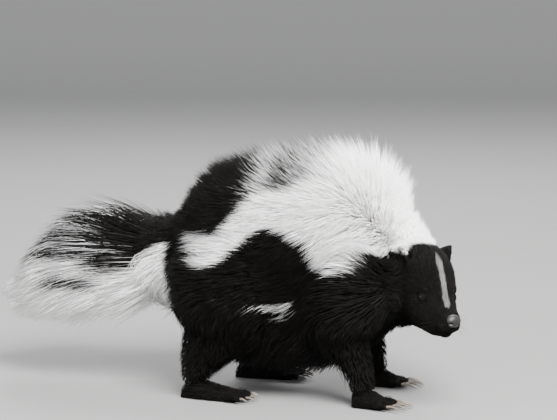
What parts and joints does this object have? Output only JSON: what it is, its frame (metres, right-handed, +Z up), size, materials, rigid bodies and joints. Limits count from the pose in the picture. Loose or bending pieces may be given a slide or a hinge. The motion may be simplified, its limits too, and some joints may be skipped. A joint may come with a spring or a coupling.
{
  "type": "striped skunk",
  "caption": "Striped skunk with a raised black coat and white back, walking with its nose to the ground and its tail held out behind.",
  "frame": {"origin": "on the floor under the middle of the whole model's box", "axes": "+X the way the body faces, +Y to the animal's left, +Z up"},
  "size_m": [0.4611, 0.1823, 0.2502],
  "materials": {
    "black_coat": "long glossy guard hair over dense underfur",
    "white_coat": "long loose guard hair",
    "nose": "bare moist pebbled skin",
    "claws": "horn, worn smooth at the tips",
    "eyes": "wet gloss"
  },
  "bodies": {
    "root": {"rump": "black_coat", "loin": "black_coat", "head": "black_coat", "muzzle": "black_coat", "lower_jaw": "black_coat", "ear_left": "black_coat", "ear_right": "black_coat", "tail_base": "black_coat", "upper_fore_right": "black_coat", "lower_fore_right": "black_coat", "paw_fore_right": "black_coat", "upper_fore_left": "black_coat", "lower_fore_left": "black_coat", "paw_fore_left": "black_coat", "upper_hind_right": "black_coat", "lower_hind_right": "black_coat", "paw_hind_right": "black_coat", "upper_hind_left": "black_coat", "lower_hind_left": "black_coat", "paw_hind_left": "black_coat", "chest": "white_coat", "neck": "white_coat", "tail_middle": "white_coat", "tail_end": "white_coat", "nose_pad": "nose", "eye_left": "eyes", "eye_right": "eyes", "claw_fore_right_1": "claws", "claw_fore_right_2": "claws", "claw_fore_right_3": "claws", "claw_fore_right_4": "claws", "claw_fore_right_5": "claws", "claw_fore_left_1": "claws", "claw_fore_left_2": "claws", "claw_fore_left_3": "claws", "claw_fore_left_4": "claws", "claw_fore_left_5": "claws", "claw_hind_right_1": "claws", "claw_hind_right_2": "claws", "claw_hind_right_3": "claws", "claw_hind_right_4": "claws", "claw_hind_right_5": "claws", "claw_hind_left_1": "claws", "claw_hind_left_2": "claws", "claw_hind_left_3": "claws", "claw_hind_left_4": "claws", "claw_hind_left_5": "claws"}
  },
  "joints": []
}
